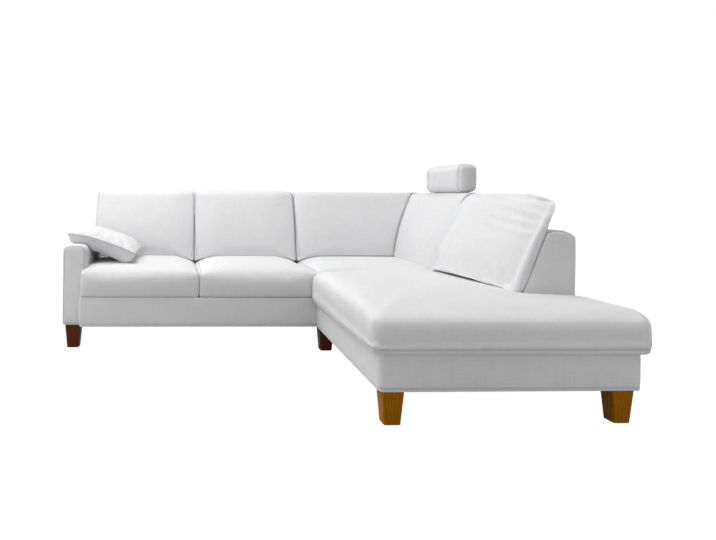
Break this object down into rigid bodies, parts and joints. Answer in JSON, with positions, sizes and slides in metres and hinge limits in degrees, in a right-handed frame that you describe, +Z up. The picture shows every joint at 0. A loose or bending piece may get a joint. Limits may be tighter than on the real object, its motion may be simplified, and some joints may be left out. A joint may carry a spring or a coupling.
{
  "type": "corner sofa",
  "caption": "Upholstered corner sofa with one arm, a chaise end, a low back with tall back cushions, a plug-in headrest and tapered wooden feet.",
  "frame": {"origin": "middle of the bounding box, on the floor", "axes": "+X along the long seat towards the chaise, +Y from the seats towards the wall behind, +Z up"},
  "size_m": [2.465, 2.174, 1.0476],
  "materials": {
    "cover_fabric": "matte",
    "foot_wood": "satin",
    "glide": "matte",
    "spring_steel": "satin",
    "zinc_steel": "satin",
    "stem_chrome": "polished",
    "sleeve_plastic": "matte",
    "felt": "matte",
    "lining": "matte",
    "hardboard": "matte",
    "frame_wood": "matte"
  },
  "bodies": {
    "sofa": {"arm_cover": "cover_fabric", "arm_end_boards": "frame_wood", "arm_foot_rail": "frame_wood", "arm_side_panels": "hardboard", "arm_top_rail": "frame_wood", "chaise_deck_board": "frame_wood", "chaise_end_rail": "frame_wood", "chaise_left_foot": "foot_wood", "chaise_right_foot": "foot_wood", "chaise_seat_cushion": "cover_fabric", "chaise_seat_springs": "spring_steel", "corner_cross_rail": "frame_wood", "corner_low_back_cover": "cover_fabric", "corner_rear_back_cushion": "cover_fabric", "corner_rear_rail": "frame_wood", "corner_seat_cushion": "cover_fabric", "corner_seat_springs": "spring_steel", "corner_side_back_cushion": "cover_fabric", "corner_spring_rail": "frame_wood", "foot_blocks": "frame_wood", "foot_bolts": "zinc_steel", "foot_glides": "glide", "foot_plates": "zinc_steel", "headrest_mount_board": "frame_wood", "headrest_sleeves": "sleeve_plastic", "inner_corner_foot": "foot_wood", "left_back_cushion": "cover_fabric", "left_back_ribs": "frame_wood", "left_back_top_rail": "frame_wood", "left_front_foot": "foot_wood", "left_low_back_cover": "cover_fabric", "left_seat_cushion": "cover_fabric", "long_base_cover": "cover_fabric", "long_inner_rail": "frame_wood", "long_outer_rail": "frame_wood", "long_spring_rail": "frame_wood", "rear_back_ribs": "frame_wood", "rear_back_top_rail": "frame_wood", "rear_feet": "foot_wood", "right_back_cushion": "cover_fabric", "right_seat_cushion": "cover_fabric", "seat_base_cover": "cover_fabric", "seat_centre_rail": "frame_wood", "seat_front_rail": "frame_wood", "seat_left_rail": "frame_wood", "seat_rear_rail": "frame_wood", "seat_right_rail": "frame_wood", "seat_spring_rail": "frame_wood", "seat_springs": "spring_steel", "side_back_ribs": "frame_wood", "side_back_top_rail": "frame_wood", "spring_clips": "zinc_steel", "spring_felts": "felt", "under_linings": "lining", "unit_joining_plates": "zinc_steel"},
    "headrest": {"headrest_board": "frame_wood", "headrest_pad": "cover_fabric", "headrest_stems": "stem_chrome"},
    "loose_back_cushion": {"loose_back_cushion": "cover_fabric"},
    "arm_cushion": {"arm_cushion": "cover_fabric"}
  },
  "joints": [
    {"name": "headrest_slide", "type": "slide", "parent": "sofa", "child": "headrest", "axis": [0.3762, 0, 0.9265], "range_m": [0, 0.19]},
    {"name": "loose_back_cushion_lift", "type": "slide", "parent": "sofa", "child": "loose_back_cushion", "axis": [0, 0, 1], "range_m": [0, 0.45]},
    {"name": "arm_cushion_lift", "type": "slide", "parent": "sofa", "child": "arm_cushion", "axis": [0, 0, 1], "range_m": [0, 0.35]}
  ]
}
